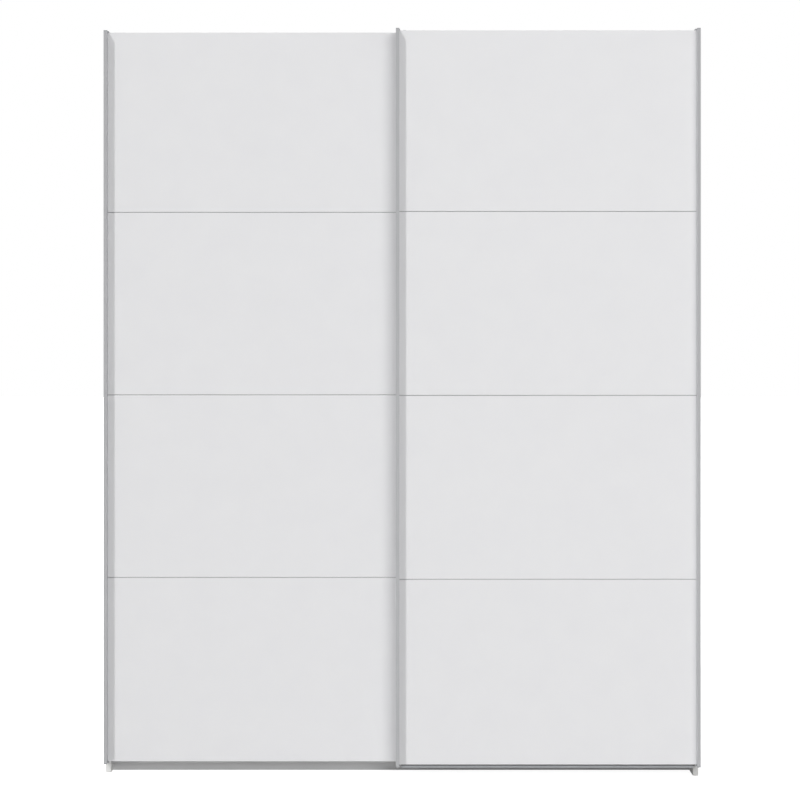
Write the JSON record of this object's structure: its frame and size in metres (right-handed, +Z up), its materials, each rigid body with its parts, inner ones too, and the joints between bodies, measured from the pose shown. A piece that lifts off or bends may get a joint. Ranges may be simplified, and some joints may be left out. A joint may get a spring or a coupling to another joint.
{
  "type": "sliding door wardrobe",
  "caption": "Tall white wardrobe with wide sliding doors of stacked boards, slim aluminium handle profiles, hat shelves and clothes rails inside.",
  "frame": {"origin": "on the floor, in the middle of the footprint's bounding box", "axes": "+Z up, -Y towards the person who opens the doors, +X to the right seen from the front"},
  "size_m": [1.754, 0.645, 2.2025],
  "materials": {
    "cabinet_board": "white melamine-faced chipboard, satin",
    "door_board": "white melamine-faced board, satin",
    "back_board": "white-faced hardboard, matt",
    "white_plastic": "matt",
    "chromed_steel": "polished",
    "profile_aluminium": "silver anodised, satin",
    "track_aluminium": "mill finish extrusion",
    "stop_rubber": "matt",
    "zinc": "die-cast zinc, dull",
    "zinc_plated_steel": "bright zinc plated",
    "beech": "raw, fluted beech",
    "grey_plastic": "matt",
    "nylon": "matt, slightly waxy"
  },
  "bodies": {
    "cabinet": {"side_panel_left": "cabinet_board", "side_panel_right": "cabinet_board", "top_panel": "cabinet_board", "bottom_panel": "cabinet_board", "centre_partition": "cabinet_board", "back_panel_left": "back_board", "back_panel_right": "back_board", "back_joining_strip": "white_plastic", "hat_shelf_left": "cabinet_board", "hat_shelf_right": "cabinet_board", "clothes_rail_left": "chromed_steel", "clothes_rail_right": "chromed_steel", "rail_flanges": "chromed_steel", "plinth": "cabinet_board", "rear_plinth": "cabinet_board", "bottom_track": "track_aluminium", "top_track": "track_aluminium", "track_stops": "stop_rubber", "cam_locks": "zinc", "cam_bolts": "zinc_plated_steel", "dowels": "beech", "shelf_pins": "zinc_plated_steel", "track_screws": "zinc_plated_steel", "floor_glides": "grey_plastic", "wall_brackets": "zinc_plated_steel"},
    "left_door": {"left_door_board_bottom": "door_board", "left_door_board_lower": "door_board", "left_door_board_upper": "door_board", "left_door_board_top": "door_board", "left_door_splines": "grey_plastic", "left_door_profile_outer": "profile_aluminium", "left_door_profile_inner": "profile_aluminium", "left_door_caps": "grey_plastic", "left_door_roller_brackets": "zinc_plated_steel", "left_door_axles": "zinc_plated_steel", "left_door_top_guides": "zinc_plated_steel", "left_door_guide_shoes": "nylon", "left_door_screws": "zinc_plated_steel"},
    "right_door": {"right_door_board_bottom": "door_board", "right_door_board_lower": "door_board", "right_door_board_upper": "door_board", "right_door_board_top": "door_board", "right_door_splines": "grey_plastic", "right_door_profile_outer": "profile_aluminium", "right_door_profile_inner": "profile_aluminium", "right_door_caps": "grey_plastic", "right_door_carrier_rail": "track_aluminium", "right_door_axles": "zinc_plated_steel", "right_door_top_guides": "zinc_plated_steel", "right_door_guide_shoes": "nylon", "right_door_screws": "zinc_plated_steel"},
    "left_wheel_outer": {"left_door_wheel_outer": "nylon"},
    "left_wheel_inner": {"left_door_wheel_inner": "nylon"},
    "right_wheel_outer": {"right_door_wheel_outer": "nylon"},
    "right_wheel_inner": {"right_door_wheel_inner": "nylon"}
  },
  "joints": [
    {"name": "left_door_slide", "type": "slide", "parent": "cabinet", "child": "left_door", "axis": [1, 0, 0], "range_m": [0, 0.844]},
    {"name": "right_door_slide", "type": "slide", "parent": "cabinet", "child": "right_door", "axis": [1, 0, 0], "range_m": [-0.862, 0]},
    {"name": "left_wheel_outer_spin", "type": "hinge", "parent": "left_door", "child": "left_wheel_outer", "pos_m": [-0.829, -0.224, 0.0543], "axis": [0, 1, 0], "range_deg": [0, 4840]},
    {"name": "left_wheel_inner_spin", "type": "hinge", "parent": "left_door", "child": "left_wheel_inner", "pos_m": [-0.033, -0.224, 0.0543], "axis": [0, 1, 0], "range_deg": [0, 4840]},
    {"name": "right_wheel_outer_spin", "type": "hinge", "parent": "right_door", "child": "right_wheel_outer", "pos_m": [0.829, -0.235, 0.0543], "axis": [0, 1, 0], "range_deg": [-4940, 0]},
    {"name": "right_wheel_inner_spin", "type": "hinge", "parent": "right_door", "child": "right_wheel_inner", "pos_m": [0.033, -0.235, 0.0543], "axis": [0, 1, 0], "range_deg": [-4940, 0]}
  ],
  "couplings": [
    {"joint": "left_wheel_outer_spin", "follows": "left_door_slide", "rad_per_m": 100},
    {"joint": "left_wheel_inner_spin", "follows": "left_door_slide", "rad_per_m": 100},
    {"joint": "right_wheel_outer_spin", "follows": "right_door_slide", "rad_per_m": 100},
    {"joint": "right_wheel_inner_spin", "follows": "right_door_slide", "rad_per_m": 100}
  ]
}
